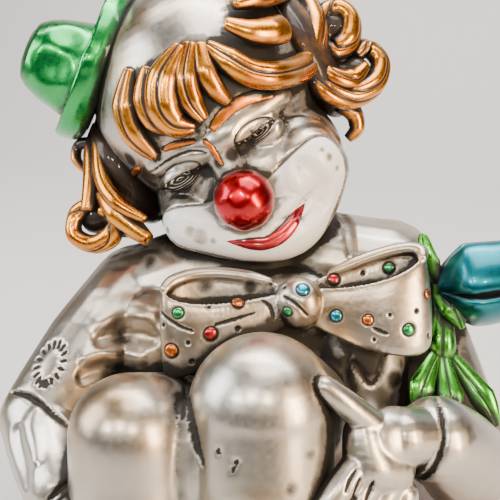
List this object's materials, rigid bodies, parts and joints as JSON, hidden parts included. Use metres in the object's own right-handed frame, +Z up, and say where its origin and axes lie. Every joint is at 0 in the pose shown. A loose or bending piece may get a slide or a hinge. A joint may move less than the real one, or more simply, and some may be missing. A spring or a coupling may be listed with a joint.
{
  "type": "clown figurine",
  "caption": "Seated clown figurine with knees drawn up, tilted bowler hat, ball nose, curled hair, big dotted bow tie and a flower, on a low plinth.",
  "frame": {"origin": "centre of the plinth's underside", "axes": "+Z up, -Y towards the figure's front, +X towards the figure's left hand"},
  "size_m": [0.2464, 0.2498, 0.2651],
  "materials": {
    "silver_leaf": "satin silver leaf over cast resin, dark patina in the hollows, enamelled hat, hair, nose, dots and flower",
    "dark_wood": "polished dark stained wood"
  },
  "bodies": {
    "root": {"clown": "silver_leaf", "plinth": "dark_wood"}
  },
  "joints": []
}
